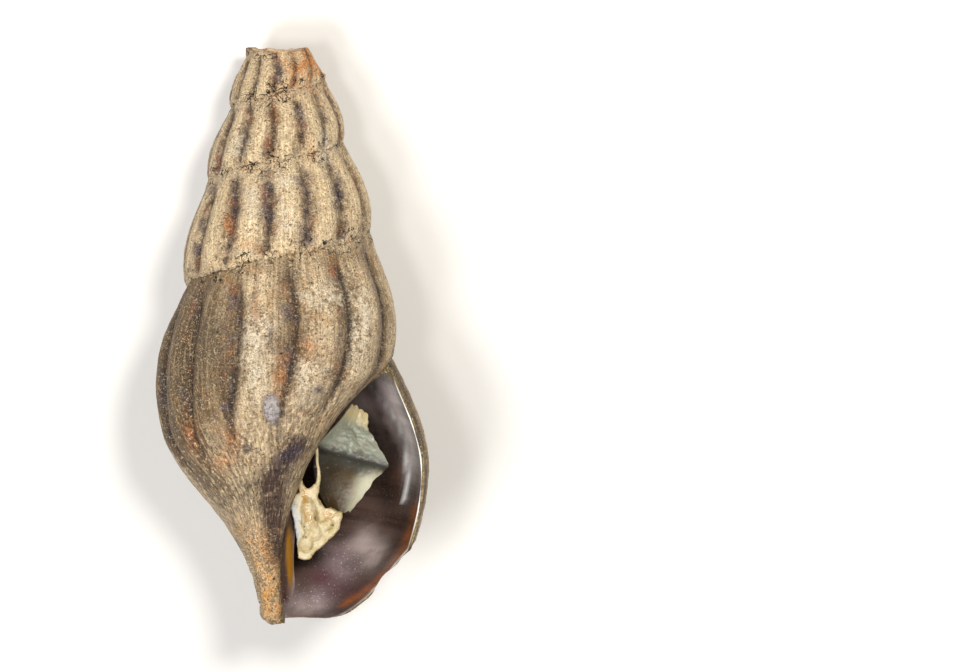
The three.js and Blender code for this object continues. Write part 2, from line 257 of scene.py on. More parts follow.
def grid(name, across, down, first, last, shape, rows=lambda share: share):
    """A grid of faces from the first to the last (turn, down), rolled up into places in mm.

    Its UV map keeps the turn and the place down the whorl for the finishes.
    """
    bpy.ops.object.select_all(action="DESELECT")
    bpy.ops.mesh.primitive_grid_add(x_subdivisions=across, y_subdivisions=down, size=1)
    piece = bpy.context.object
    piece.name = name
    mesh = piece.data
    flat = np.empty(len(mesh.vertices) * 3)
    mesh.vertices.foreach_get("co", flat)
    share = np.clip(flat.reshape(-1, 3)[:, :2] + 0.5, 0, 1)
    share[:, 1] = rows(share[:, 1])
    where = np.array(first) + share * (np.array(last) - np.array(first))
    placed = shape(where[:, 0], where[:, 1])
    mesh.vertices.foreach_set("co", np.ascontiguousarray(placed, float).ravel())
    corner = np.empty(len(mesh.loops), dtype=np.int32)
    mesh.loops.foreach_get("vertex_index", corner)
    mesh.uv_layers[0].name = "growth"
    mesh.uv_layers["growth"].data.foreach_set("uv", np.ascontiguousarray(where[corner]).ravel())
    return piece


def lid(name, rim):
    """One flat-shaded face on a closed rim of places in mm."""
    bpy.ops.object.select_all(action="DESELECT")
    bpy.ops.mesh.primitive_circle_add(vertices=len(rim), radius=1, fill_type="NGON")
    piece = bpy.context.object
    piece.name = name
    piece.data.vertices.foreach_set("co", np.ascontiguousarray(rim, float).ravel())
    piece.data.uv_layers[0].name = "growth"
    return piece


def weld(pieces, name):
    """Joins pieces, merges the points that they share and turns all faces outwards."""
    bpy.ops.object.select_all(action="DESELECT")
    for piece in pieces:
        piece.select_set(True)
    bpy.context.view_layer.objects.active = pieces[0]
    bpy.ops.object.join()
    bpy.ops.object.mode_set(mode="EDIT")
    bpy.ops.mesh.select_all(action="SELECT")
    bpy.ops.mesh.remove_doubles(threshold=2e-4)
    bpy.ops.mesh.normals_make_consistent(inside=False)
    bpy.ops.object.mode_set(mode="OBJECT")
    joined = bpy.context.object
    joined.name = name
    return joined


BASE_ROWS = 52
SIDE_ROWS = 36
steps = round((LIP_TURN - FIRST_TURN) * COLUMNS)
sides = grid("sides", steps, SIDE_ROWS, (FIRST_TURN, 0), (LIP_TURN, 1), outer_places)
base = grid("base", COLUMNS, BASE_ROWS, (LIP_TURN - 1, 1), (LIP_TURN, 2), outer_places, closer)
print("sides and base:", len(sides.data.polygons) + len(base.data.polygons), "faces")

# %% Closing the ends
FINISHES = ("crust", "glaze", "broken", "rim")
base_down = 1 + closer(np.arange(BASE_ROWS + 1) / BASE_ROWS)
lip_rim = outer_places(LIP_TURN, np.concatenate([np.arange(SIDE_ROWS) / SIDE_ROWS, base_down]))
inner_rim = outer_places(LIP_TURN - 1, base_down[:0:-1])
foot_rim = outer_places(LIP_TURN - np.arange(COLUMNS + 1) / COLUMNS, 2.0)
top_edge = outer_places(FIRST_TURN + np.arange(COLUMNS + 1) / COLUMNS, 0.0)
top_side = outer_places(FIRST_TURN, np.arange(SIDE_ROWS - 1, 0, -1) / SIDE_ROWS)
lids = [
    lid("aperture_lid", np.concatenate([lip_rim, inner_rim])),
    lid("foot_lid", foot_rim),
    lid("top_lid", np.concatenate([top_edge, top_side])),
]
for piece, number in zip([sides, base, *lids], (0, 0, 3, 0, 2)):
    for finish in FINISHES:
        piece.data.materials.append(bpy.data.materials.get(finish) or bpy.data.materials.new(finish))
    piece.data.polygons.foreach_set("material_index", [number] * len(piece.data.polygons))
shell = weld([sides, base, *lids], "snail_shell")
check = bmesh.new()
check.from_mesh(shell.data)
loose = sum(not edge.is_manifold for edge in check.edges)
check.free()
print("outside:", len(shell.data.polygons), "faces,", loose, "open edges")

# %% [markdown]
# The surface is worn and crumbly, most of all along the sutures and on the pillar. A Displace
# modifier with a cloud texture pushes the points in and out. A vertex group says how much of it
# each place gets, and leaves the lip nearly smooth.

# %% The worn surface
rough = shell.vertex_groups.new(name="rough")
corners = np.empty(len(shell.data.loops), dtype=np.int32)
shell.data.loops.foreach_get("vertex_index", corners)
uv = np.empty(len(shell.data.loops) * 2)
shell.data.uv_layers["growth"].data.foreach_get("uv", uv)
where = np.zeros((len(shell.data.vertices), 2))
where[corners] = uv.reshape(-1, 2)
turn, down = where.T
by_seam = np.exp(-np.minimum(down, np.where(turn < LIP_TURN - 1, 1 - down, 2)) / 0.1)
weight = 0.3 + 0.7 * np.maximum(by_seam, smooth(down, 1.5, 1.8) * (turn < -0.3))
weight *= 1 - 0.85 * smooth(turn, LIP_TURN - 0.03, LIP_TURN - 0.005)
for share in range(1, 11):
    chosen = np.nonzero(np.round(weight * 10) == share)[0].tolist()
    rough.add(chosen, share / 10, "REPLACE")
for name, size, depth in (("crumbs", 0.4, 0.13), ("hollows", 1.6, 0.16)):
    cloud = bpy.data.textures.new(name, "CLOUDS")
    cloud.noise_scale = size
    cloud.noise_depth = 3
    push = shell.modifiers.new(name, "DISPLACE")
    push.texture = cloud
    push.texture_coords = "LOCAL"
    push.vertex_group = "rough"
    push.strength = depth
    bpy.ops.object.modifier_apply(modifier=push.name)
print("roughened", int((weight > 0.05).sum()), "points")

# %% [markdown]
# The animal lived in one long cavity that winds up inside. Its outer wall follows the outside at
# a wall's thickness, and its inner wall is the whorl before it under a thin glaze. The cavity is
# made as a solid of its own, a grid whose long edges meet, and then cut out of the filled shell.
# Modelling the cut tool with care is easier here than giving the shell a thickness, because the
# wall isn't even and the inner wall isn't a copy of the outer one.

# %% The cavity
WALL = 0.35
LIP_EDGE = 0.14
GLAZE = 0.04
CAVITY_START = 0.075
CAVITY_END = -1.6
CAVITY_TOP = 0.43
CAVITY_FLOOR_DROP = 25.6
BELOW = -0.7


def cavity_walls(turn, height):
    """Radii of the cavity's inner and outer wall. A fold runs up the columella."""
    to_lip = np.clip((turn + 0.03) / (LIP_TURN + 0.03), 0, 1)
    wall = (LIP_EDGE + (WALL - LIP_EDGE) * np.sqrt(1 - to_lip**2)) * GROWTH ** (0.8 * turn)
    fold = np.exp(-(((turn + 0.07) / 0.045) ** 2)) * smooth(height, 0.2, 1.8)
    fold = 0.62 * fold * (1 - smooth(height, 4.8, 6.8))
    inner = outline(turn - 1, down_at(turn - 1, height))[1] + GLAZE + fold
    outer = outline(turn, down_at(turn, height))[1] - wall
    return inner, np.maximum(outer, inner + 0.05)


def cavity_heights(turn):
    top = suture_height(turn) - CAVITY_TOP * GROWTH ** (0.8 * turn)
    closed = WHOLE_LENGTH - CAVITY_FLOOR_DROP * GROWTH ** np.minimum(turn + 0.5, 0)
    return top, closed + (BELOW - closed) * smooth(turn, -0.5, -0.28)


def cavity_places(turn, around):
    """Down the outer wall for the first half of the way around, and up the inner for the rest."""
    top, floor = cavity_heights(turn)
    deep = 0.5 - 0.5 * np.cos(2 * np.pi * around)
    height = top + (floor - top) * deep
    inner, outer = cavity_walls(turn, height)
    corner = 0.5 * GROWTH ** (0.8 * turn)
    open_below = smooth(turn, -0.42, -0.3)
    near_top = np.clip(1 - (top - height) / corner, 0, 1)
    near_floor = np.clip(1 - (height - floor) / corner, 0, 1) * (1 - open_below)
    half = (outer - inner) / 2 * np.sqrt(1 - np.maximum(near_top, near_floor) ** 2)
    side = np.where(around < 0.5, 1.0, -1.0)
    return place(turn, height, (outer + inner) / 2 + side * half)


cavity_rings = round((CAVITY_START - CAVITY_END) * 100)
AROUND = 120
tube = grid("tube", cavity_rings, AROUND, (CAVITY_START, 0), (CAVITY_END, 1), cavity_places)
ends = [
    lid(f"cavity_end_{n}", cavity_places(turn, np.arange(AROUND) / AROUND))
    for n, turn in enumerate((CAVITY_START, CAVITY_END))
]
for piece in (tube, *ends):
    for finish in FINISHES:
        piece.data.materials.append(bpy.data.materials[finish])
    piece.data.polygons.foreach_set("material_index", [1] * len(piece.data.polygons))
tube = weld([tube, *ends], "cavity")
check = bmesh.new()
check.from_mesh(tube.data)
print("cavity:", len(tube.data.polygons), "faces,", sum(not e.is_manifold for e in check.edges), "open")
check.free()

# %% Cutting it out


def cut(piece, tool):
    """Cuts the tool's shape out of the piece, and deletes the tool."""
    bpy.ops.object.select_all(action="DESELECT")
    piece.select_set(True)
    bpy.context.view_layer.objects.active = piece
    boolean = piece.modifiers.new("cut", "BOOLEAN")
    boolean.operation = "DIFFERENCE"
    boolean.solver = "MANIFOLD"
    boolean.object = tool
    bpy.ops.object.modifier_apply(modifier=boolean.name)
    bpy.data.objects.remove(tool, do_unlink=True)


cut(shell, tube)
print("after the cut:", len(shell.data.polygons), "faces")


def soften_lip(other, offset, segments):
    """Bevels the edges between the lip's flat face and the faces of another finish."""
    bpy.ops.object.mode_set(mode="EDIT")
    bpy.ops.mesh.select_mode(type="EDGE")
    bpy.ops.mesh.select_all(action="DESELECT")
    edit = bmesh.from_edit_mesh(shell.data)
    chosen = 0
    for edge in edit.edges:
        kinds = {face.material_index for face in edge.link_faces}
        if kinds == {3, other} and min(v.co.y for v in edge.verts) > 0.6 and edge.verts[0].co.x > 0.9:
            edge.select_set(True)
            chosen += 1
    bmesh.update_edit_mesh(shell.data)
    bpy.ops.mesh.bevel(offset=offset, segments=segments, affect="EDGES", material=3, clamp_overlap=True)
    bpy.ops.object.mode_set(mode="OBJECT")
    print("softened", chosen, "edges")


soften_lip(0, 0.07, 3)
soften_lip(1, 0.06, 3)

# %% [markdown]
# The tip of this shell is worn away. What took it off left an uneven face, so the tool that
# cuts it is a sphere whose underside is pushed into that face, with a chip on the right and
# some fine roughness.

# %% The lost tip
bpy.ops.object.select_all(action="DESELECT")
bpy.ops.mesh.primitive_uv_sphere_add(segments=96, ring_count=64, radius=1)
tip_tool = bpy.context.object
tip_tool.name = "lost_tip"
for vertex in tip_tool.data.vertices:
    # The sphere's poles are turned to the shell's axis, so that its underside has an even grid.
    x, y, z = vertex.co.x * 3.4, vertex.co.z, -vertex.co.y * 3.4
    pit = 0.3 * math.exp(-3 * ((x + 0.1) ** 2 + (z - 0.1) ** 2))
    pit += 0.2 * (1 - float(smooth(abs(x + 0.1), 0.6, 1.2))) * float(smooth(z, -0.6, 0.8))
    chip = 1.25 * float(smooth(x, 0.95, 2.0))
    waves = 0.05 * math.sin(4.1 * x + 0.6) * math.cos(3.3 * z)
    crumbs = 0.07 * noise.fractal(Vector((x, z, 7.0)) * 2.6, 0.8, 2.1, 4)
    face = LENGTH - 0.07 - pit - chip + waves + crumbs
    vertex.co = Vector((x, face + 5 * max(y, 0), z))
for finish in FINISHES:
    tip_tool.data.materials.append(bpy.data.materials[finish])
tip_tool.data.polygons.foreach_set("material_index", [2] * len(tip_tool.data.polygons))
tip_tool.data.uv_layers[0].name = "growth"
bpy.ops.object.mode_set(mode="EDIT")
bpy.ops.mesh.select_all(action="SELECT")
bpy.ops.mesh.remove_doubles(threshold=1e-4)
bpy.ops.mesh.normals_make_consistent(inside=False)
bpy.ops.object.mode_set(mode="OBJECT")
cut(shell, tip_tool)
print("shell without its tip:", len(shell.data.polygons), "faces")

# %% [markdown]
# The finishes need to know where they are: how deep in a groove, how near a suture, how near
# the lip. Code works that out for every corner of every face from its turn and its place down
# the whorl, and stores it as attributes that the materials read. Stains are ellipses with soft
# edges, measured across and up the shell as seen from the aperture side.

# %% Where each corner is
mesh = shell.data
corner_vertex = np.empty(len(mesh.loops), dtype=np.int32)
mesh.loops.foreach_get("vertex_index", corner_vertex)
spots = np.empty(len(mesh.vertices) * 3)
mesh.vertices.foreach_get("co", spots)
X, Y, Z = spots.reshape(-1, 3)[corner_vertex].T
growth = np.empty(len(mesh.loops) * 2)
mesh.uv_layers["growth"].data.foreach_get("uv", growth)
TURN, DOWN = growth.reshape(-1, 2).T
finish = np.empty(len(mesh.polygons), dtype=np.int32)
mesh.polygons.foreach_get("material_index", finish)
counts = np.empty(len(mesh.polygons), dtype=np.int32)
mesh.polygons.foreach_get("loop_total", counts)
FINISH = np.repeat(finish, counts)
print("corners:", len(X))


def keep(name, values, piece_mesh=mesh):
    """Stores one number for every corner, for the materials."""
    kept = piece_mesh.attributes.new(name, "FLOAT", "CORNER")
    kept.data.foreach_set("value", np.ascontiguousarray(values, np.float32))


def stain(x, y, across, high, lean=0):
    """1 in the middle of an ellipse and 0 well outside it, on the side of the aperture."""
    angle = math.radians(lean)
    right, up = X - x, Y - y
    along_it = right * math.cos(angle) + up * math.sin(angle)
    over_it = up * math.cos(angle) - right * math.sin(angle)
    return np.exp(-((along_it / across) ** 2) - (over_it / high) ** 2) * smooth(Z, -0.3, 0.6)


def stains(*places):
    return np.clip(sum(stain(*ellipse) for ellipse in places), 0, 1)


def near_line(points, width):
    """1 on a line through (x, y) points and 0 far from it."""
    best = np.full(len(X), 1e9)
    for (x0, y0), (x1, y1) in zip(points, points[1:]):
        dx, dy = x1 - x0, y1 - y0
        t = np.clip(((X - x0) * dx + (Y - y0) * dy) / (dx * dx + dy * dy), 0, 1)
        best = np.minimum(best, np.hypot(X - x0 - t * dx, Y - y0 - t * dy))
    return np.exp(-((best / width) ** 2))


# %% Marks on the crust
side_fade = smooth(DOWN, 0.0, 0.22) * (1 - smooth(DOWN, 0.9, 1.0 + 0.45 * (TURN > LIP_TURN - 1)))
offset = from_groove(TURN, DOWN)
on_spire = 1 - smooth(TURN, -1.1, -0.9)
keep("groove_line", np.exp(-((offset / 0.07) ** 2)) * side_fade * (1 - 0.35 * on_spire))
one_side = smooth(offset, -0.1, 0.03) * (1 - smooth(offset, 0.08, 0.42))
keep("groove_shade", np.maximum(one_side, on_spire * np.exp(-((offset / 0.21) ** 2))) * side_fade)
keep("crest", crest(TURN, DOWN) * side_fade)
whorl = GROWTH**TURN
from_lip = LIP_TURN - TURN
from_foot = (Y - 0.25) / 16 + 0.6 * smooth(Y, 1, 7) + 2 * smooth(Y, 5, 9)
from_foot = from_foot + 3 * (1 - smooth(TURN, -0.75, -0.5))
nearest = -np.log(np.exp(-12 * np.clip(from_lip, 0, 5)) + np.exp(-12 * np.clip(from_foot, 0, 5))) / 12
keep("lines_at", np.where(TURN > LIP_TURN - 1, LIP_TURN - nearest, TURN))
keep("turn", TURN)
keep("down", DOWN)
from_seam = np.minimum(DOWN, np.where(TURN < LIP_TURN - 1, 1 - DOWN, 2.0)) * 5.5 * whorl
keep("seam", np.exp(-np.clip(from_seam, 0, 9) / 0.55))
keep("pillar", (1 - smooth(Y, 2.6, 5.2)) * (1 - smooth(TURN, -0.6, -0.45)))
tip_back = 0.9 * smooth(-Z, -0.3, 0.5) * smooth(Y, 22.6, 24.2)
keep("tip_stain", np.clip(stains((1.1, 24.2, 1.2, 1.0)) + tip_back, 0, 1))
keep(
    "rust",
    stains(
        (-2.12, 8.02, 0.4, 0.5, 20),
        (-2.21, 11.8, 0.16, 0.16),
        (-0.05, 10.6, 0.3, 0.9),
        (1.16, 11.9, 0.35, 0.5),
        (-3.9, 8.3, 0.3, 0.9, 10),
        (-0.65, 3.3, 0.4, 0.6),
        (-2.6, 7.0, 0.5, 0.4),
        (1.25, 17.4, 0.16, 0.25),
        (-2.2, 17.2, 0.25, 0.5),
        (-1.6, 16.4, 0.3, 0.2),
        (-0.3, 22.2, 0.12, 0.4),
        (-1.1, 13.6, 0.15, 0.5),
        (1.3, 20.4, 0.15, 0.4),
    ),
)
keep(
    "purple",
    stains(
        (1.6, 10.18, 0.22, 0.22),
        (-1.47, 7.67, 0.25, 0.25),
        (0.66, 7.73, 0.3, 0.32, 30),
        (0.4, 7.5, 0.35, 0.45, 30),
        (0.05, 7.1, 0.5, 0.35, 40),
        (-0.64, 18.0, 0.2, 0.9),
        (1.07, 17.9, 0.18, 0.9),
        (0.82, 21.9, 0.16, 0.5),
        (-0.1, 23.8, 0.2, 0.4),
        (2.3, 18.6, 0.2, 0.8),
        (-2.0, 18.1, 0.15, 0.8),
        (-0.45, 12.4, 0.15, 0.5),
    ),
)
keep("worn", stains((-0.52, 9.4, 0.36, 0.62), (-0.34, 9.2, 0.3, 0.5)))
keep(
    "dark",
    stains(
        (-2.4, 11.0, 0.5, 0.9),
        (-3.1, 12.3, 0.7, 1.6, 5),
        (-4.4, 9.6, 0.45, 2.4, -6),
        (0.1, 12.2, 0.3, 1.4),
        (-1.0, 5.9, 0.9, 0.7, 30),
        (-3.2, 6.2, 1.4, 0.8, -40),
        (1.0, 9.9, 0.4, 0.7),
    ),
)
keep(
    "pale",
    stains(
        (-1.15, 11.3, 0.6, 1.5, 4),
        (-0.9, 12.9, 0.6, 0.6),
        (1.15, 10.7, 0.6, 1.3, -8),
        (3.3, 12.4, 0.5, 1.6, -8),
        (3.5, 13.4, 0.3, 0.8, -12),
        (2.0, 14.2, 1.3, 0.5),
        (0.2, 17.6, 0.35, 0.9),
        (-1.3, 18.3, 0.3, 0.8),
        (1.9, 20.6, 0.3, 0.8),
        (0.2, 19.2, 0.5, 0.3),
        (-1.9, 20.6, 0.3, 0.5),
    ),
)
purple_edge = [(0.8, 8.0), (0.15, 7.1), (-0.3, 6.3), (-0.4, 5.3), (-0.3, 4.2), (-0.15, 3.0)]
purple_zone = near_line(purple_edge, 0.55) * smooth(Z, -0.3, 0.4) + stain(-0.45, 5.5, 0.45, 1.0)
keep("inner_lip", np.clip(purple_zone, 0, 1) * (1 - smooth(Y, 7.8, 8.6)))
keep("dark_edge", near_line([(0.12, 6.3), (0.1, 3.0), (0.08, 0.2)], 0.11) * (TURN < -0.85))
lip_mm = (LIP_TURN - TURN) * 2 * np.pi * np.hypot(X, Z)
keep("lip_mm", np.where(FINISH == 0, lip_mm, 0))
front = smooth(Z, -0.6, 0.8) * smooth(TURN, -1.0, -0.93)
# Painted shade: one side of the shell is darkened, the left seen from the aperture and the left seen from
# behind.
keep("shadow_side", front * (1 - smooth(X, -4.9, -1.6)) + 0.6 * smooth(-Z, 0.5, 2) * smooth(X, 2.5, 5))
print("crust marks:", len(mesh.attributes))

# %% Marks on the glaze
levels = np.linspace(0, 12, 400)
lip_inner = outline(LIP_TURN, down_at(LIP_TURN, levels))[1] - LIP_EDGE
from_inner = np.hypot(X - middle(Y), Z) - np.interp(Y, levels, lip_inner)
keep("edge_mm", np.where(FINISH == 1, np.where(DOWN < 0.5, np.clip(lip_mm, 0, 50), 50), from_inner))
# Painted reflection: a thin pale band down the inner wall, as a light reflected in the glaze.
reflected_band = [
    (3.86, 10.29), (4.2, 9.88), (4.6, 9.36), (5.0, 8.67), (5.29, 8.0), (5.44, 7.19), (5.48, 6.38),
    (5.33, 5.3),
]
# Painted highlight: how strongly the white line along the lip is painted, strongest higher up.
keep("lip_highlight_share", (0.3 + 0.7 * smooth(Y, 3.6, 5.6)) * (1 - smooth(Y, 9.7, 10.5)))
keep("reflected_band", near_line(reflected_band, 0.08))
rust_band = [
    (5.85, 5.16), (5.62, 4.2), (5.25, 3.25), (4.72, 2.5), (4.05, 1.8), (3.4, 1.25), (2.7, 0.85),
]
keep("rust_band", near_line(rust_band, 0.14))


def inside(*places):
    """Soft ellipses on the glaze, wherever it is seen through the aperture."""
    total = 0
    for x, y, across, high, lean in places:
        angle = math.radians(lean)
        right, up = X - x, Y - y
        along_it = right * math.cos(angle) + up * math.sin(angle)
        over_it = up * math.cos(angle) - right * math.sin(angle)
        total = total + np.exp(-((along_it / across) ** 2) - (over_it / high) ** 2)
    return np.clip(total, 0, 1)


keep("lilac", inside((2.7, 2.6, 1.0, 0.8, 20), (1.2, 1.0, 1.2, 0.5, 0)))
# Paler lilac glaze with painted highlights: a glossy line down the pillar and soft pale spots low down.
pillar_gloss = near_line([(0.6, 3.9), (0.57, 2.6), (0.5, 1.3)], 0.09) * (DOWN > 0.5)
soft_light = inside((3.6, 3.4, 0.6, 0.7, -20), (4.1, 2.9, 0.35, 0.6, -35), (1.2, 0.7, 0.7, 0.3, 0))
keep("pale_lilac_and_highlights", np.clip(soft_light + pillar_gloss, 0, 1))
keep("plum", inside((2.8, 1.4, 0.8, 0.4, 10), (1.7, 2.0, 0.6, 0.35, 0)))
# Painted reflection: a pale grey band inside the lip, fading lower down and filling the top corner.
grey_reflection_line = [
    (4.45, 10.75), (4.6, 10.1), (5.05, 9.3), (5.45, 8.4), (5.68, 7.5), (5.72, 6.5), (5.6, 5.5),
]
grey_reflection_fade = 0.15 + 0.85 * smooth(Y, 5.4, 7.8)
grey_reflection_corner = inside((4.3, 10.3, 0.6, 0.7, 0))
keep("grey_reflection", np.clip(near_line(grey_reflection_line, 0.36) * grey_reflection_fade + grey_reflection_corner, 0, 1))
keep("umber", inside((4.5, 8.3, 0.22, 0.8, 15), (5.0, 6.3, 0.25, 0.9, 0)))
# Painted shade: dark patches where the cavity runs deep.
shaded_places = [(3.85, 8.6, 0.25, 1.0, 25), (4.6, 5.6, 0.6, 1.1, 10), (1.3, 2.8, 0.5, 0.4, 0)]
keep("depth", inside(*shaded_places))
# Painted light: the upper wall inside the aperture is painted pale, where the lamps bring little light.
keep("upper_wall_light", inside((3.8, 10.0, 0.8, 0.9, 0), (4.6, 8.8, 0.5, 1.5, 25)))
on_pillar = (DOWN > 0.5) * smooth(X, -0.6, 0.0)
keep("amber", smooth(inside((0.33, 2.9, 0.19, 1.5, 2)), 0.3, 0.7) * on_pillar)
keep("dark_glaze", near_line([(0.12, 6.5), (0.14, 4.0), (0.12, 1.0)], 0.16) * on_pillar)
print("glaze marks:", len(mesh.attributes))

# %% [markdown]
# The shell rests on the back of its last whorl. It is turned about its own axis, tipped over and
# moved, all with one matrix, which also shrinks it to its real size. Where the worn ribs touch the
# table they are cut level.

# %% Into the resting pose
TIP_OVER = -13.9
ROLL = 8.3
REST = Vector((-0.44, -12.14, 7.9))
turned = Matrix.Rotation(math.radians(TIP_OVER), 4, "X") @ Matrix.Rotation(math.radians(ROLL), 4, "Y")
POSE = Matrix.Scale(0.001, 4) @ Matrix.Translation(REST) @ turned


def to_rest(piece):
    piece.data.transform(POSE)
    piece.data.update()


to_rest(shell)
bpy.ops.object.select_all(action="DESELECT")
shell.select_set(True)
bpy.context.view_layer.objects.active = shell
bpy.ops.object.mode_set(mode="EDIT")
bpy.ops.mesh.select_all(action="SELECT")
bpy.ops.mesh.bisect(
    plane_co=(0, 0, 0), plane_no=(0, 0, 1), use_fill=True, clear_inner=True, threshold=1e-8
)
bpy.ops.object.mode_set(mode="OBJECT")
bpy.ops.object.shade_smooth_by_angle(angle=math.radians(38))
low = [min(v.co[k] for v in shell.data.vertices) for k in range(3)]
high = [max(v.co[k] for v in shell.data.vertices) for k in range(3)]
print("shell box in mm:", [round(1000 * v, 2) for v in low + high])

# %% [markdown]
# A scrap of dried membrane hangs in the aperture. It is a grid between two edge curves, wrinkled
# with noise and given a thickness. It hangs from the inner lip and its lower part folds back.

# %% The dried membrane
MEMBRANE_LEFT = (
    [(0, 3.03), (0.2, 2.51), (0.4, 1.99), (0.6, 1.52), (0.66, 1.52), (0.75, 1.56), (0.87, 1.73), (1, 2.25)],
    [(0, 9.53), (0.2, 8.84), (0.4, 8.28), (0.6, 7.71), (0.66, 7.45), (0.75, 6.67), (0.87, 5.89), (1, 5.2)],
    [(0, -0.9), (0.2, -0.6), (0.4, -0.4), (0.6, -0.25), (0.66, -0.5), (0.75, -0.7), (1, -0.8)],
)
MEMBRANE_RIGHT = (
    [(0, 3.73), (0.2, 3.77), (0.4, 4.07), (0.6, 4.59), (0.66, 4.42), (0.75, 3.9), (0.87, 3.42), (1, 2.95)],
    [(0, 9.06), (0.2, 8.41), (0.4, 7.89), (0.6, 6.89), (0.66, 6.63), (0.75, 6.07), (0.87, 5.37), (1, 4.81)],
    [(0, -1.3), (0.2, -1.1), (0.4, -0.9), (0.6, -0.6), (0.66, -0.9), (0.75, -1.2), (1, -1.2)],
)


def membrane_places(across, down):
    left = np.stack([along(keys, down) for keys in MEMBRANE_LEFT], -1)
    right = np.stack([along(keys, down) for keys in MEMBRANE_RIGHT], -1)
    spot = left + (right - left) * across[:, None]
    spot[:, 2] -= 0.25 * np.sin(np.pi * across)
    folds = [noise.fractal(Vector((a * 3.5, d * 7, 3)), 0.9, 2.0, 4) for a, d in zip(across, down)]
    edge = [noise.noise(Vector((a * 6, d * 16, 9))) for a, d in zip(across, down)]
    deep = 0.03 + 0.12 * smooth(down, 0.08, 0.3) - 0.14 * smooth(down, 0.55, 0.72)
    spot[:, 2] += deep * np.array(folds) * np.sin(np.pi * across) ** 0.5 - 0.05
    spot[:, 0] += 0.09 * np.array(edge) * across**2 - 0.22 * (1 - across) * smooth(down, 0.55, 0.75)
    spot[:, 1] -= 0.3 * (1 - across) * smooth(down, 0.8, 1)
    spot[:, 1] += 0.1 * np.array(edge) * smooth(np.abs(down - 0.5), 0.3, 0.5)
    return spot


membrane = grid("membrane", 50, 90, (0, 0), (1, 1), membrane_places)
bpy.ops.object.modifier_add(type="SOLIDIFY")
bpy.context.object.modifiers[-1].thickness = 0.06
bpy.ops.object.modifier_apply(modifier=bpy.context.object.modifiers[-1].name)
to_rest(membrane)
bpy.ops.object.shade_smooth_by_angle(angle=math.radians(50))
print("membrane:", len(membrane.data.polygons), "faces")

# %% [markdown]
# The dried flesh is a crumbly lump on the columella with a strand that leads up from it. Its
# ragged outline is drawn as a curve, filled and given a round edge. Round lumps make its belly, a
# strand is bent along its points, and a voxel remesh grows all of them together. Noise then pits
# and crumbles the surface.

# %% The dried flesh
FLESH_OUTLINE = [
    (0.82, 6.41), (0.91, 6.07), (1.04, 5.89), (1.17, 5.87), (1.3, 5.94), (1.39, 6.07), (1.58, 6.07),
    (1.58, 5.94), (1.47, 5.63), (1.63, 5.35), (1.85, 5.0), (2.12, 5.03), (2.38, 4.9), (2.62, 4.85),
    (2.64, 4.64), (2.51, 4.38), (2.45, 4.12), (2.24, 3.81), (1.99, 3.68), (1.78, 3.38), (1.46, 3.15),
    (1.27, 2.87), (0.95, 2.77), (0.69, 2.87), (0.69, 3.25), (0.65, 3.77), (0.52, 4.51), (0.39, 4.94),
    (0.3, 5.33), (0.43, 5.55), (0.69, 5.68), (0.75, 6.24),
]
LUMPS = [
    # x, y, z, half its width, height and depth, lean in degrees
    (1.2, 4.6, 0.12, 0.42, 0.95, 0.44, 8),
    (1.9, 4.3, 0.05, 0.5, 0.36, 0.34, 28),
    (1.05, 3.5, 0.1, 0.36, 0.5, 0.36, -20),
    (1.35, 3.95, 0.12, 0.5, 0.4, 0.36, 30),
]
STRAND = [
    # x, y, z and radius
    (1.15, 8.3, -0.35, 0.07),
    (1.46, 7.75, -0.1, 0.07),
    (1.53, 7.0, 0, 0.075),
    (1.6, 6.46, 0.05, 0.08),
    (1.52, 5.94, 0.1, 0.11),
    (1.35, 5.3, 0.1, 0.18),
]
parts = []
for x, y, z, across, high_, deep, lean in LUMPS:
    bpy.ops.object.select_all(action="DESELECT")
    bpy.ops.mesh.primitive_ico_sphere_add(
        subdivisions=4, radius=1, location=(x, y, z), rotation=(0, 0, math.radians(lean)),
        scale=(across, high_, deep),
    )
    bpy.ops.object.transform_apply(location=True, rotation=True, scale=True)
    parts.append(bpy.context.object)
bpy.ops.object.select_all(action="DESELECT")
bpy.ops.curve.primitive_bezier_circle_add()
slab = bpy.context.object
slab.data.splines.clear()
line = slab.data.splines.new("POLY")
line.points.add(len(FLESH_OUTLINE) - 1)
for point, (x, y) in zip(line.points, FLESH_OUTLINE):
    point.co = (x, y, 0.1, 1)
line.use_cyclic_u = True
slab.data.dimensions = "2D"
slab.data.fill_mode = "BOTH"
slab.data.extrude = 0.08
slab.data.bevel_depth = 0.1
slab.data.bevel_resolution = 3
slab.data.offset = -0.09
slab.location = (0, 0, 0.08)
bpy.ops.object.convert(target="MESH")
bpy.ops.object.transform_apply(location=True, rotation=True, scale=True)
parts.append(bpy.context.object)
bpy.ops.object.select_all(action="DESELECT")
bpy.ops.curve.primitive_nurbs_path_add()
strand = bpy.context.object
strand.data.splines.clear()
line = strand.data.splines.new("BEZIER")
line.bezier_points.add(len(STRAND) - 1)
for point, (x, y, z, radius) in zip(line.bezier_points, STRAND):
    point.co = (x, y, z)
    point.radius = radius
    point.handle_left_type = point.handle_right_type = "AUTO"
strand.data.bevel_depth = 1
strand.data.bevel_resolution = 4
strand.data.resolution_u = 16
strand.data.use_fill_caps = True
bpy.ops.object.convert(target="MESH")
parts.append(bpy.context.object)
for piece in parts:
    piece.select_set(True)
bpy.context.view_layer.objects.active = parts[0]
bpy.ops.object.join()
flesh = bpy.context.object
flesh.name = "flesh"
bpy.ops.object.modifier_add(type="REMESH")
flesh.modifiers[-1].mode = "VOXEL"
flesh.modifiers[-1].voxel_size = 0.04
bpy.ops.object.modifier_apply(modifier=flesh.modifiers[-1].name)
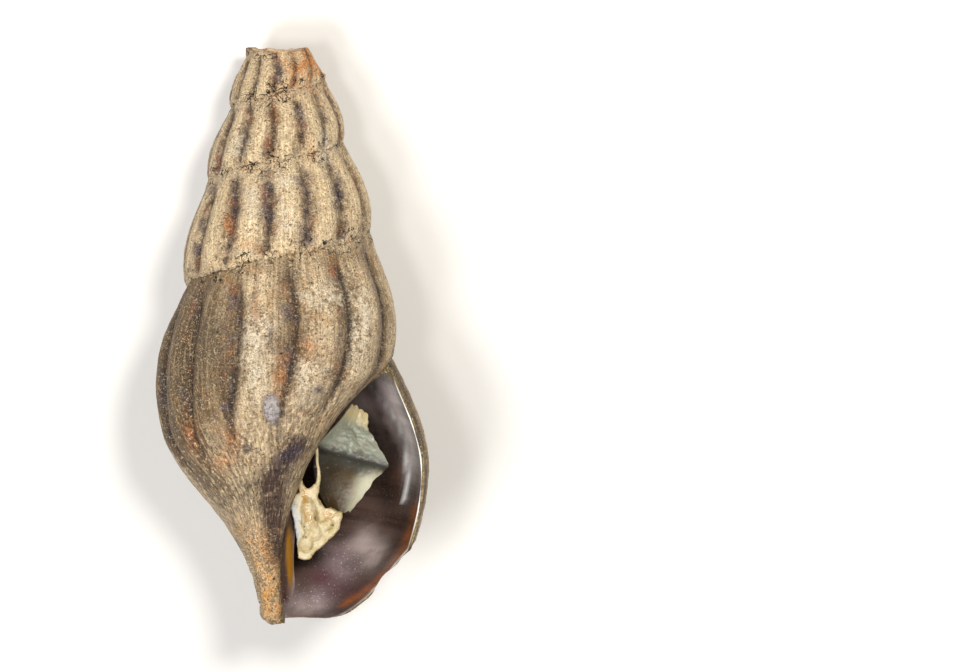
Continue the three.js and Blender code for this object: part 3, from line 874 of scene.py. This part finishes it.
for vertex in flesh.data.vertices:
    crumb = noise.fractal(vertex.co * 2.2, 0.7, 2.1, 5)
    pits = max(0.0, noise.noise(vertex.co * 5.0 + Vector((4, 1, 7))) - 0.25)
    thin = float(smooth(vertex.co.y, 5.4, 6.4))
    vertex.co += vertex.normal * (0.05 * crumb - 0.09 * pits) * (1 - 0.8 * thin)
print("flesh:", len(flesh.data.polygons), "faces")
to_rest(flesh)
bpy.ops.object.shade_smooth()

# %% [markdown]
# Materials are made of nodes. These helpers add a node and set or link its inputs in one line,
# so that each finish below reads as a list of layers from the bottom up. Noise is measured in
# millimetres: Object coordinates are metres, so they are multiplied by a thousand.

# %% Helpers for materials


def rgb(red, green, blue):
    """A colour as a screen shows it, turned into the light values that nodes use."""
    parts = [v / 255 for v in (red, green, blue)]
    return tuple(v / 12.92 if v < 0.04045 else ((v + 0.055) / 1.055) ** 2.4 for v in parts) + (1,)


class Finish:
    """A material and short ways to add nodes to it."""

    def __init__(self, name):
        self.material = bpy.data.materials.get(name) or bpy.data.materials.new(name)
        self.material.use_nodes = True
        self.nodes = self.material.node_tree.nodes
        self.links = self.material.node_tree.links
        self.nodes.clear()
        self.colour = None
        place_node = self.put("TexCoord")
        inputs = {"Vector": place_node.outputs["Object"], "Scale": (1000, 1000, 1000)}
        self.mm = self.put("Mapping", inputs).outputs[0]

    def put(self, kind, inputs=(), **settings):
        made = self.nodes.new("ShaderNode" + kind)
        for setting, value in settings.items():
            setattr(made, setting, value)
        for name, value in dict(inputs).items():
            if isinstance(value, bpy.types.NodeSocket):
                self.links.new(value, made.inputs[name])
            else:
                made.inputs[name].default_value = value
        return made

    def noise(self, scale, detail=3.0, rough=0.6, at=None, warp=0.0):
        inputs = {"Vector": at or self.mm, "Scale": scale, "Detail": detail}
        inputs.update({"Roughness": rough, "Distortion": warp})
        return self.put("TexNoise", inputs).outputs[0]

    def cells(self, scale, at=None, feature="F1"):
        inputs = {"Vector": at or self.mm, "Scale": scale}
        return self.put("TexVoronoi", inputs, feature=feature).outputs["Distance"]

    def mark(self, name):
        return self.put("Attribute", attribute_name=name).outputs["Fac"]

    def between(self, value, low, high, start=0.0, end=1.0):
        """A soft step from start, at low, to end, at high."""
        inputs = {0: value, 1: low, 2: high, 3: start, 4: end}
        return self.put("MapRange", inputs, interpolation_type="SMOOTHSTEP").outputs[0]

    def sum(self, *values):
        total = values[0]
        for value in values[1:]:
            total = self.put("Math", {0: total, 1: value}, operation="ADD").outputs[0]
        return total

    def times(self, *values):
        total = values[0]
        for value in values[1:]:
            total = self.put("Math", {0: total, 1: value}, operation="MULTIPLY").outputs[0]
        return total

    def layer(self, under, over, amount, blend="MIX"):
        inputs = {0: amount, 6: under, 7: over}
        return self.put("Mix", inputs, data_type="RGBA", blend_type=blend, clamp_factor=True).outputs[2]

    def paint(self, tint, amount, blend="MIX"):
        """Lays a colour, or what a socket gives, over all the layers so far."""
        over = tint if isinstance(tint, bpy.types.NodeSocket) else rgb(*tint)
        self.colour = self.layer(self.colour, over, amount, blend)

    def stretched(self, *parts):
        """A vector for noise from three values."""
        return self.put("CombineXYZ", dict(enumerate(parts))).outputs[0]

    def done(self, colour, rough, height, deep, **settings):
        """Ends the material: colour, roughness and a bump of that depth in metres."""
        bump = self.put("Bump", {"Height": height, "Distance": deep, "Strength": 1.0})
        inputs = {"Base Color": colour, "Roughness": rough, "Normal": bump.outputs[0]}
        shader = self.put("BsdfPrincipled", inputs)
        for name, value in settings.items():
            shader.inputs[name.replace("_", " ")].default_value = value
        end = self.put("OutputMaterial", {"Surface": shader.outputs[0]})
        print(self.material.name, "has", len(self.nodes), "nodes, ending in", end.name)
        return self.material


# %% [markdown]
# The outside is bare, worn shell: cream crests, brown grooves, rust and purple stains, an orange
# pillar and a worn glossy patch with a painted highlight in its middle. One side is darkened
# with painted shade. A photograph would give all this at once, but only from one side. Layers
# of noise that are steered by the marks on the mesh look right from every side.

# %% The crust
crust = Finish("crust")
large = crust.noise(0.5, 3, 0.6)
middle_noise = crust.noise(1.7, 4, 0.62)
turn_mark = crust.mark("turn")
down_mark = crust.mark("down")
seam_mark = crust.mark("seam")
pillar_mark = crust.mark("pillar")
lines_mark = crust.mark("lines_at")
line_place = crust.stretched(crust.times(lines_mark, 210), crust.times(down_mark, 2.6), 0.0)
growth_lines = crust.noise(1, 4, 0.7, at=line_place)
lines = crust.between(growth_lines, 0.4, 0.6)
fine = crust.noise(5.5, 3, 0.7)
grain = crust.noise(14, 3, 0.75)
clumps = crust.between(crust.noise(2.3, 3, 0.65), 0.4, 0.6)
early = crust.between(turn_mark, -0.9, -1.3)
on_base = crust.between(down_mark, 0.85, 1.25)
lightness = crust.sum(
    crust.times(crust.mark("crest"), 0.4),
    crust.times(middle_noise, 0.75),
    crust.times(large, 0.7),
    crust.times(seam_mark, 0.35),
    crust.times(early, 0.5),
    crust.times(on_base, 0.46),
    # Painted shade: the shadow side lowers the lightness.
    crust.times(crust.mark("shadow_side"), -0.65),
)
crust.colour = crust.layer(rgb(112, 90, 62), rgb(200, 177, 142), crust.between(lightness, 0.66, 1.3))
late = crust.between(turn_mark, -1.05, -0.85)
ochre = crust.between(crust.noise(1.2, 4, 0.65), 0.5, 0.66)
crust.paint((160, 116, 62), crust.times(ochre, 0.45))
greyish = crust.between(crust.noise(1.45, 4, 0.65), 0.54, 0.68)
crust.paint((112, 102, 92), crust.times(greyish, 0.45))
crust.paint((226, 202, 160), crust.times(early, crust.mark("crest"), 0.5))
streaky = crust.sum(0.3, crust.times(crust.mark("shadow_side"), 0.3), crust.times(late, 0.15))
crust.paint((84, 64, 40), crust.times(crust.between(lines, 1, 0), streaky))
shade = crust.times(crust.mark("groove_shade"), crust.between(middle_noise, 0.34, 0.6, 0.25, 1))
crust.paint((88, 66, 45), crust.times(shade, 0.95))
# Painted shade: the grooves on the shadow side are painted darker still.
darker = crust.times(crust.mark("groove_shade"), crust.mark("shadow_side"), 0.7)
crust.paint((58, 44, 28), darker)
purple_noise = crust.between(crust.noise(0.9, 2, 0.5), 0.5, 0.62)
crust.paint((78, 70, 84), crust.times(shade, purple_noise, 0.6))
rust_noise = crust.between(crust.noise(1.1, 3, 0.6, warp=0.3), 0.52, 0.66)
crust.paint((150, 90, 50), crust.times(shade, rust_noise, 0.75))
ragged = crust.between(crust.sum(fine, crust.times(middle_noise, 0.8)), 0.72, 1.02)
for stain_name, tint, share in (
    ("dark", (80, 68, 52), 0.85),
    ("pale", (198, 184, 160), 0.95),
    ("rust", (174, 112, 62), 0.75),
    ("tip_stain", (184, 118, 60), 1.0),
):
    crust.paint(tint, crust.times(crust.mark(stain_name), ragged, share))
pillar_share = crust.sum(0.4, crust.times(clumps, 0.5))
crust.paint((216, 154, 82), crust.times(pillar_mark, ragged, pillar_share))
blotched = crust.times(crust.mark("purple"), crust.between(crust.sum(fine, middle_noise), 0.75, 1.15))
inner_lip = crust.times(crust.mark("inner_lip"), crust.between(middle_noise, 0.2, 0.45))
crust.paint((62, 44, 38), crust.times(inner_lip, 0.95))
crust.paint((60, 50, 60), crust.times(blotched, 1.1))
worn_patch_and_highlight = crust.sum(
    crust.times(crust.mark("worn"), 0.8), crust.times(fine, 1.3), crust.times(large, 0.5)
)
worn = crust.between(worn_patch_and_highlight, 1.15, 1.5)
crust.paint((112, 100, 102), worn)
# Painted highlight: the middle of the worn patch is painted pale grey over its worn purple-grey.
crust.paint((176, 168, 164), crust.between(worn_patch_and_highlight, 1.35, 1.75))
lip_mm_mark = crust.mark("lip_mm")
lip_line_place = crust.stretched(crust.times(lip_mm_mark, 7), crust.times(down_mark, 5), 3.0)
lip_lines = crust.noise(1, 4, 0.7, at=lip_line_place)
by_lip = crust.between(lip_mm_mark, 1.1, 0.5)
crust.paint((60, 45, 26), crust.times(by_lip, 0.9))
crust.paint((130, 110, 70), crust.times(by_lip, crust.between(lip_lines, 0.5, 0.62)))

# %% [markdown]
# Over the stains lie the dark lines of the grooves, specks of dirt, pale flecks and fine pale
# growth lines. All are thresholds of one fine noise, which turns into dashes along the growth
# lines near the base. The cracks are the edges between the cells of a shaken Voronoi pattern,
# kept only near the sutures.

# %% Dirt and cracks on the crust
line_share = crust.between(middle_noise, 0.3, 0.6, 0.5, 0.95)
crust.paint((44, 34, 28), crust.times(crust.mark("groove_line"), line_share))
dash_place = crust.stretched(crust.times(lines_mark, 150), crust.times(down_mark, 26), 0.0)
dashes = crust.noise(1, 3, 0.7, at=dash_place)
along_growth = crust.times(on_base, crust.between(pillar_mark, 0.6, 0.1))
mottle = crust.sum(crust.times(fine, 0.3), crust.times(grain, 0.7))
speckle = crust.layer(mottle, dashes, crust.times(along_growth, 0.6))
speckle = crust.put("SeparateColor", {0: speckle}).outputs[0]
contrast = crust.between(speckle, 0.32, 0.68, 0.08, 0.92)
shaded = crust.mark("shadow_side")
smoother = crust.sum(1.0, crust.times(worn, -0.9))
overlaid = crust.sum(0.5, crust.times(clumps, 0.4), crust.times(on_base, 0.25))
crust.paint(contrast, crust.times(overlaid, smoother), blend="OVERLAY")
dirt_share = crust.sum(0.8, crust.times(seam_mark, -0.3), crust.times(crust.mark("pale"), -0.25))
in_clumps = crust.sum(0.45, crust.times(clumps, 0.55))
dirt = crust.times(crust.between(speckle, 0.44, 0.35), dirt_share, in_clumps, smoother)
crust.paint((48, 35, 24), dirt)
fleck_share = crust.sum(
    0.35, crust.times(on_base, 0.6), crust.times(shaded, 0.3), crust.times(inner_lip, -0.6)
)
bright = crust.times(crust.between(speckle, 0.53, 0.64), fleck_share, smoother)
crust.paint((232, 208, 166), bright)
pale_share = crust.sum(crust.times(shaded, 0.4), crust.times(late, 0.3))
crust.paint((176, 152, 116), crust.times(crust.between(growth_lines, 0.54, 0.66), pale_share))
seam_line = crust.times(crust.between(seam_mark, 0.88, 0.96), crust.between(fine, 0.5, 0.58))
crust.paint((34, 24, 16), crust.times(seam_line, 0.8))
crust.paint((38, 22, 16), crust.times(crust.mark("dark_edge"), 0.9))
shaking = crust.put("TexNoise", {"Vector": crust.mm, "Scale": 2.6, "Detail": 2.0}).outputs[1]
shaken = crust.put(
    "VectorMath", {0: shaking, 1: (0.9, 0.9, 0.9), 2: crust.mm}, operation="MULTIPLY_ADD"
).outputs[0]
block_edge = crust.cells(1.7, at=shaken, feature="DISTANCE_TO_EDGE")
crack_zone = crust.between(crust.sum(seam_mark, crust.times(middle_noise, 0.9)), 0.9, 1.06)
broken_off = crust.between(crust.noise(1.3, 2, 0.5, at=shaken), 0.44, 0.54)
cracks = crust.times(crust.between(block_edge, 0.045, 0.018), crack_zone, broken_off)
pits = crust.between(crust.noise(8, 2, 0.6), 0.66, 0.7)
crust.paint((26, 18, 12), crust.sum(cracks, crust.times(pits, 0.85)))
relief_height = crust.sum(
    crust.times(fine, 1.2),
    crust.times(grain, 0.9),
    crust.times(lines, 0.2),
    crust.times(cracks, -0.8),
    crust.times(pits, -0.6),
)
roughness = crust.sum(0.45, crust.times(fine, 0.3), crust.times(worn, -0.35))
crust.done(crust.colour, roughness, relief_height, 0.00009, Specular_IOR_Level=0.3)

# %% [markdown]
# Inside, the shell is smooth and glossy like porcelain: purple-brown, darker in the depths with
# painted shade, and lilac near the base, with painted highlights on its paler lilac parts. Along
# the lip lie a painted grey reflection with a painted white highlight on its very edge, then a
# painted pale reflected band, and the upper wall is painted lighter where little light reaches
# it. Streaks follow the direction of growth. A thin clear coat over a slightly rough base gives
# that gloss.

# %% The glaze
glaze = Finish("glaze")
streak_place = glaze.stretched(
    glaze.times(glaze.mark("turn"), 3.0), glaze.times(glaze.mark("down"), 60), 0.0
)
streaks = glaze.noise(1, 4, 0.6, at=streak_place)
clouds = glaze.noise(0.7, 3, 0.55)
dust_and_glints = glaze.noise(12, 2, 0.7)
edge_mm = glaze.mark("edge_mm")
streaked = glaze.between(streaks, 0.3, 0.62)
cloudy = glaze.between(clouds, 0.32, 0.58, 0.5, 1)
glaze.colour = glaze.layer(rgb(56, 42, 34), rgb(86, 68, 60), streaked)
glaze.paint((134, 116, 118), glaze.times(glaze.mark("lilac"), cloudy))
# Pale lilac and painted highlights.
glaze.paint((168, 152, 146), glaze.times(glaze.mark("pale_lilac_and_highlights"), cloudy))
glaze.paint((84, 52, 58), glaze.times(glaze.mark("plum"), glaze.between(clouds, 0.4, 0.6, 0.4, 1)))
# Painted reflection: the grey band along the inside of the lip.
grey_reflection_share = glaze.sum(0.6, glaze.times(streaked, 0.4))
glaze.paint((206, 198, 190), glaze.times(glaze.mark("grey_reflection"), grey_reflection_share))
# Painted light on the upper wall inside the aperture.
glaze.paint((200, 180, 174), glaze.mark("upper_wall_light"))
glaze.paint((92, 56, 36), glaze.times(glaze.mark("umber"), streaked, 0.85))
# Painted shade in the depths of the cavity.
glaze.paint((30, 21, 16), glaze.times(glaze.mark("depth"), 0.75))
# Painted reflection: the pale band inside the aperture.
pale_reflection_share = glaze.times(glaze.mark("reflected_band"), glaze.sum(0.7, glaze.times(streaked, 0.3)))
glaze.paint((255, 252, 246), pale_reflection_share)
rust_share = glaze.sum(0.45, glaze.times(streaked, 0.5))
glaze.paint((178, 102, 42), glaze.times(glaze.mark("rust_band"), rust_share))
glaze.paint((52, 32, 24), glaze.mark("dark_glaze"))
glaze.paint((130, 88, 6), glaze.times(glaze.mark("amber"), glaze.between(streaks, 0.2, 0.5, 0.6, 1)))
# Painted highlight: a white line on the glaze's very edge along the lip.
lip_highlight = glaze.times(glaze.between(edge_mm, 0.2, 0.06), glaze.mark("lip_highlight_share"))
glaze.paint((244, 243, 238), lip_highlight)
# White specks: dust, and painted glints, mostly on the lilac.
dust_and_glint_share = glaze.sum(0.1, glaze.times(glaze.mark("lilac"), 0.7))
glaze.paint((214, 206, 206), glaze.times(glaze.between(dust_and_glints, 0.62, 0.7), dust_and_glint_share))
glaze.done(
    glaze.colour,
    glaze.between(clouds, 0.3, 0.7, 0.2, 0.34),
    glaze.sum(glaze.times(streaks, 0.6), glaze.times(clouds, 0.4), glaze.times(dust_and_glints, 0.15)),
    0.00002,
    Coat_Weight=0.6,
    Coat_Roughness=0.16,
)

# %% [markdown]
# The lip's edge shows the layers of the shell as fine olive and brown lines, with a painted white
# highlight along its inner part, and the broken tip shows bare chalky shell with orange stains.

# %% The lip's edge and the broken tip
rim = Finish("rim")
rim_mm = rim.mark("edge_mm")
rim_place = rim.put("SeparateXYZ", {0: rim.mm}).outputs
layer_place = rim.stretched(rim.times(rim_mm, 26), rim.times(rim_place[1], 1.1), 0.0)
layers = rim.noise(1, 4, 0.7, at=layer_place)
fleck = rim.noise(9, 2, 0.7)
rim.colour = rim.layer(rgb(40, 29, 14), rgb(122, 100, 50), rim.between(layers, 0.4, 0.62))
rim.paint((44, 32, 20), rim.between(fleck, 0.46, 0.34))
# Painted highlight: a white line on the inner part of the lip's edge.
lip_highlight = rim.times(rim.between(rim_mm, 0.075, 0.035), rim.between(rim_mm, -0.09, -0.05))
rim.paint((238, 236, 230), rim.times(lip_highlight, rim.mark("lip_highlight_share")))
rim.paint((206, 186, 128), rim.times(rim.between(fleck, 0.6, 0.68), 0.7))
rim.done(rim.colour, 0.6, rim.sum(rim.times(layers, 2), rim.times(fleck, 0.5)), 0.00003)
broken = Finish("broken")
patches = broken.noise(1.5, 4, 0.65)
fleck = broken.noise(8, 3, 0.7)
broken.colour = broken.layer(rgb(150, 110, 72), rgb(214, 186, 148), broken.between(patches, 0.35, 0.65))
broken.paint((84, 62, 44), broken.times(broken.between(fleck, 0.48, 0.36), 0.8))
broken.done(broken.colour, 0.75, broken.sum(patches, broken.times(fleck, 0.6)), 0.00006)

# %% [markdown]
# The membrane is dried and thin, grey-green where light comes through, olive-brown lower down
# and yellow at the top. The flesh is cream and crumbly with glossy amber spots. Both let some
# light into themselves, which subsurface scattering gives.

# %% The membrane and the flesh
skin = Finish("membrane_skin")
skin_uv = skin.put("UVMap", uv_map="growth").outputs[0]
parts_uv = skin.put("SeparateXYZ", {0: skin_uv}).outputs
cloud = skin.noise(1.6, 4, 0.6)
fine_cloud = skin.noise(6, 3, 0.6)
row = skin.sum(parts_uv[1], skin.times(cloud, 0.12))
skin.colour = skin.layer(rgb(168, 154, 116), rgb(120, 122, 106), skin.between(row, 0.12, 0.34))
# Painted shadow: a dark line under the edge of the upper sheet where the membrane folds back.
crease_shadow = skin.times(skin.between(row, 0.58, 0.68), skin.between(row, 0.8, 0.7))
olive = skin.layer(rgb(36, 24, 2), rgb(66, 50, 10), skin.between(skin.sum(parts_uv[0], row), 0.9, 1.7))
skin.paint(olive, skin.between(row, 0.64, 0.74))
skin.paint((50, 50, 42), crease_shadow)
# Painted light: the thin lower right edge is paler where light comes through it.
light_through_edge = skin.times(skin.between(parts_uv[0], 0.6, 0.95), skin.between(row, 0.7, 0.8))
skin.paint((160, 156, 130), light_through_edge)
skin.paint((190, 194, 186), skin.times(skin.between(fine_cloud, 0.6, 0.8), 0.25))
skin.done(
    skin.colour,
    skin.between(cloud, 0.3, 0.7, 0.36, 0.56),
    skin.sum(cloud, skin.times(fine_cloud, 0.5)),
    0.00003,
    Subsurface_Weight=0.25,
    Subsurface_Scale=0.0003,
)
lump = Finish("flesh_crumb")
crumbs = lump.noise(3.0, 4, 0.65)
fine_crumbs = lump.noise(11, 3, 0.7)
lump.colour = lump.layer(rgb(160, 142, 94), rgb(184, 170, 136), lump.between(crumbs, 0.35, 0.6))
film = lump.mark("film")
lump.paint((158, 160, 158), film)
lump.paint((120, 92, 52), lump.times(lump.between(fine_crumbs, 0.42, 0.3), 0.6))
wet = lump.mark("wet")
amber_share = lump.times(wet, lump.between(crumbs, 0.7, 0.46), 0.75)
lump.paint((158, 116, 50), amber_share)
dark_spots = lump.between(lump.noise(4.2, 2, 0.5), 0.66, 0.72)
lump.paint((92, 76, 48), lump.times(dark_spots, 0.8))
lump.done(
    lump.colour,
    lump.between(wet, 0.1, 0.6, 0.45, 0.12),
    lump.sum(crumbs, lump.times(fine_crumbs, 0.6)),
    0.00004,
    Subsurface_Weight=0.2,
    Subsurface_Scale=0.0003,
)
for piece, finish_name in ((membrane, "membrane_skin"), (flesh, "flesh_crumb")):
    piece.data.materials.clear()
    piece.data.materials.append(bpy.data.materials[finish_name])
to_shell = POSE.inverted()
flesh_spots = {
    "wet": [(1.0, 5.1, 0.14, 0.4), (1.2, 4.55, 0.22, 0.25), (2.05, 4.75, 0.3, 0.22), (0.98, 5.6, 0.12, 0.3)],
    "film": [(0.42, 5.15, 0.22, 0.35), (0.58, 4.5, 0.2, 0.45), (0.66, 3.9, 0.15, 0.3)],
}
for name, ellipses in flesh_spots.items():
    values = []
    for vertex in flesh.data.vertices:
        spot = to_shell @ vertex.co
        near = [((spot.x - x) / a) ** 2 + ((spot.y - y) / b) ** 2 for x, y, a, b in ellipses]
        values.append(min(1.0, sum(math.exp(-far) for far in near)))
    flesh.data.attributes.new(name, "FLOAT", "POINT").data.foreach_set("value", values)

# %% [markdown]
# Every piece is tied to the body it moves with, and the imported part that it stands for is
# hidden.

# %% Tying the pieces to the frame
for piece, node_name, slot_name in (
    (shell, "shell", "shell"),
    (membrane, "dried_membrane", "dried_membrane"),
    (flesh, "dried_flesh", "dried_flesh"),
):
    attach(piece, "root")
    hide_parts(node_name)
print("pieces:", shell.name, membrane.name, flesh.name)

# %% [markdown]
# The shell lies on a large pale table under soft studio light. The camera is a long lens far
# above it, level with the shell's own frame, so that the aperture is seen square on.

# %% The table, the light and the camera
bpy.ops.object.select_all(action="DESELECT")
bpy.ops.mesh.primitive_grid_add(x_subdivisions=8, y_subdivisions=8, size=0.6, location=(0, 0, -0.00001))
bpy.ops.object.transform_apply(location=True, rotation=True, scale=True)
table = bpy.context.object
table.name = "table"
table_finish = Finish("table_top")
table.data.materials.append(table_finish.done(rgb(216, 214, 210), 0.85, table_finish.noise(0.8, 2), 0.000005))

lights = [
    # name, place and size in metres, watts, colour
    ("key", (0.08, 0.09, 0.18), 0.05, 0.46, (1.0, 0.97, 0.92)),
    ("fill", (-0.07, -0.04, 0.18), 0.08, 0.27, (0.98, 0.98, 1.0)),
    ("top", (-0.03, 0.03, 0.2), 0.04, 0.1, (1.0, 1.0, 1.0)),
]
for name, spot, wide, watts, tint in lights:
    bpy.ops.object.light_add(type="AREA", location=spot)
    lamp = bpy.context.object
    lamp.name = name
    lamp.data.shape = "DISK"
    lamp.data.size = wide
    lamp.data.energy = watts
    lamp.data.color = tint
    lamp.rotation_euler = (-Vector(spot)).to_track_quat("-Z", "Y").to_euler()
world = bpy.context.scene.world or bpy.data.worlds.new("studio")
bpy.context.scene.world = world
world.use_nodes = True
world.node_tree.nodes["Background"].inputs["Color"].default_value = (0.84, 0.83, 0.82, 1)
world.node_tree.nodes["Background"].inputs["Strength"].default_value = 0.26

seen_from = POSE @ Vector((0.5, 12.478, 462.2))
looking_at = POSE @ Vector((8.579, 12.478, 0))
up = (POSE.to_3x3() @ Vector((0, 1, 0))).normalized()
back = (seen_from - looking_at).normalized()
right = up.cross(back).normalized()
aim = Matrix((right, back.cross(right), back)).transposed()
bpy.ops.object.camera_add()
camera = bpy.context.object
camera.name = "camera"
camera.matrix_world = Matrix.Translation(seen_from) @ aim.to_4x4()
camera.data.sensor_width = 36
camera.data.lens = 400
camera.data.clip_start = 0.01
camera.data.clip_end = 5
bpy.context.scene.camera = camera
bpy.context.scene.view_settings.view_transform = "Standard"
print("camera at", [round(v, 4) for v in seen_from])
